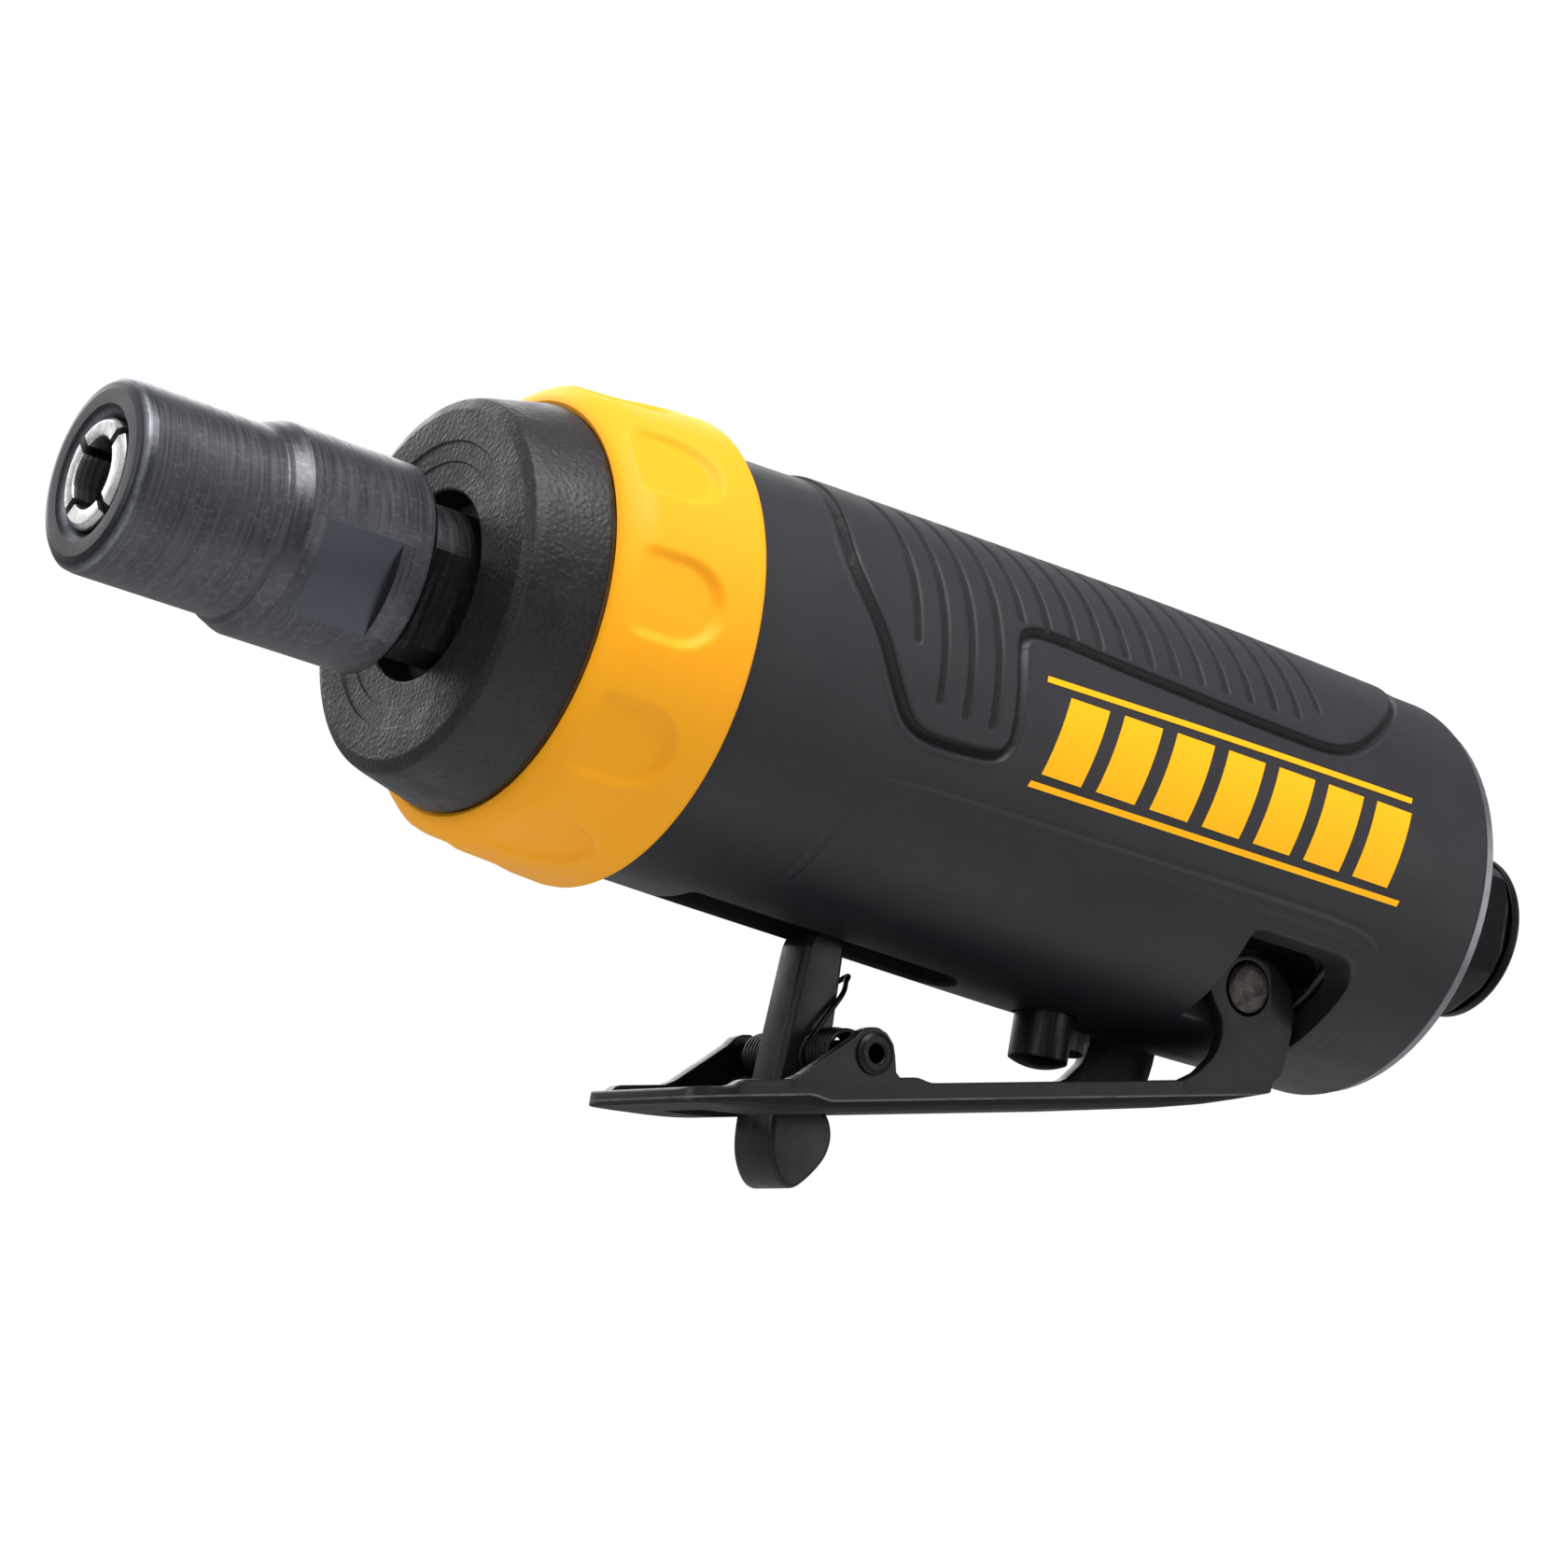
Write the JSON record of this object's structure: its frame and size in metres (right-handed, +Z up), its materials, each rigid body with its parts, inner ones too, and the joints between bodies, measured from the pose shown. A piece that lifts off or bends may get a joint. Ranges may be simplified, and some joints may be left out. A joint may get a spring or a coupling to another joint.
{
  "type": "die grinder",
  "caption": "Straight pneumatic die grinder: collet nose, textured front cap, scalloped yellow exhaust ring, ribbed black grip, lever throttle with safety latch, threaded air inlet.",
  "frame": {"origin": "mouth of the collet bore, on the spindle axis, level with the nut's front face", "axes": "+X along the spindle from the collet to the air inlet, +Z up, the throttle lever hangs at -Z"},
  "size_m": [0.1582, 0.0436, 0.0649],
  "materials": {
    "cast_aluminium": "satin machined",
    "grip_rubber": "matte soft-touch",
    "cap_composite": "fine-grained matte",
    "machined_steel": "ground",
    "bearing_steel": "polished",
    "bright_steel": "turned bright",
    "black_steel": "black oxide",
    "plunger_steel": "dark turned",
    "pin_steel": "dark zinc",
    "spring_steel": "oil-tempered",
    "cage_brass": "stamped",
    "valve_brass": "turned",
    "vane_phenolic": "laminated phenolic",
    "seal_rubber": "satin",
    "felt": "pressed felt",
    "yellow_plastic": "satin moulded",
    "black_paint": "gloss black",
    "latch_plastic": "satin moulded"
  },
  "bodies": {
    "casing": {"motor_housing": "cast_aluminium", "grip_sleeve": "grip_rubber", "front_cap": "cap_composite", "front_end_plate": "machined_steel", "cylinder_liner": "machined_steel", "rear_end_plate": "machined_steel", "dowel_pins": "machined_steel", "front_bearing_outer_race": "bearing_steel", "rear_bearing_outer_race": "bearing_steel", "wave_washer": "spring_steel", "spindle_felt_seal": "felt", "ring_friction_o_ring": "seal_rubber", "exhaust_felt": "felt", "rear_gasket": "seal_rubber", "valve_bushing": "valve_brass", "bushing_seal": "seal_rubber", "valve_seat": "valve_brass", "valve_spring": "spring_steel", "inlet_bushing": "black_steel", "inlet_o_ring": "seal_rubber", "inlet_screen": "bright_steel", "lever_pin": "pin_steel"},
    "spindle": {"rotor": "machined_steel", "rotor_vanes": "vane_phenolic", "collet_body": "black_steel", "front_bearing_inner_race": "bearing_steel", "rear_bearing_inner_race": "bearing_steel"},
    "front_cage": {"front_bearing_cage": "cage_brass", "front_bearing_balls": "bearing_steel"},
    "rear_cage": {"rear_bearing_cage": "cage_brass", "rear_bearing_balls": "bearing_steel"},
    "collet": {"collet": "bright_steel"},
    "nut": {"collet_nut": "black_steel"},
    "ring": {"exhaust_ring": "yellow_plastic"},
    "throttle": {"throttle_plunger": "plunger_steel", "throttle_poppet": "valve_brass", "poppet_seal": "seal_rubber"},
    "regulator": {"regulator_stem": "plunger_steel", "regulator_seal": "seal_rubber"},
    "lever": {"throttle_lever": "black_paint", "latch_pin": "pin_steel"},
    "latch": {"safety_latch": "latch_plastic", "latch_spring": "spring_steel"}
  },
  "joints": [
    {"name": "spindle_spin", "type": "hinge", "parent": "casing", "child": "spindle", "pos_m": [0, 0, 0], "axis": [1, 0, 0], "continuous": true},
    {"name": "front_cage_spin", "type": "hinge", "parent": "casing", "child": "front_cage", "pos_m": [0.0515, 0, 0], "axis": [1, 0, 0], "continuous": true},
    {"name": "rear_cage_spin", "type": "hinge", "parent": "casing", "child": "rear_cage", "pos_m": [0.096, 0, 0], "axis": [1, 0, 0], "continuous": true},
    {"name": "collet_slide", "type": "slide", "parent": "spindle", "child": "collet", "axis": [-1, 0, 0], "range_m": [0, 0.001]},
    {"name": "nut_turn", "type": "hinge", "parent": "collet", "child": "nut", "pos_m": [0, 0, 0], "axis": [-1, 0, 0], "range_deg": [0, 360]},
    {"name": "ring_turn", "type": "hinge", "parent": "casing", "child": "ring", "pos_m": [0.047, 0, 0], "axis": [1, 0, 0], "continuous": true},
    {"name": "lever_squeeze", "type": "hinge", "parent": "casing", "child": "lever", "pos_m": [0.1229, 0, -0.01435], "axis": [0, 1, 0], "range_deg": [0, 10.2], "stiffness_Nm_per_rad": 2, "springref_deg": -8.59},
    {"name": "throttle_slide", "type": "slide", "parent": "casing", "child": "throttle", "axis": [0, 0, 1], "range_m": [0, 0.0013], "deforming": ["valve_spring"]},
    {"name": "latch_fold", "type": "hinge", "parent": "lever", "child": "latch", "pos_m": [0.0812, 0, -0.0306], "axis": [0, 1, 0], "range_deg": [0, 70.5], "deforming": ["latch_spring"]},
    {"name": "regulator_turn", "type": "hinge", "parent": "casing", "child": "regulator", "pos_m": [0.1136, 0.0042, -0.0226], "axis": [0, 0, 1], "range_deg": [0, 90]}
  ],
  "couplings": [
    {"joint": "front_cage_spin", "follows": "spindle_spin", "ratio": 0.3833},
    {"joint": "rear_cage_spin", "follows": "spindle_spin", "ratio": 0.37},
    {"joint": "nut_turn", "follows": "collet_slide", "rad_per_m": 6283.1},
    {"joint": "throttle_slide", "follows": "lever_squeeze", "m_per_rad": 0.0073017},
    {"joint": "latch_fold", "follows": "lever_squeeze", "ratio": 6.9111}
  ]
}
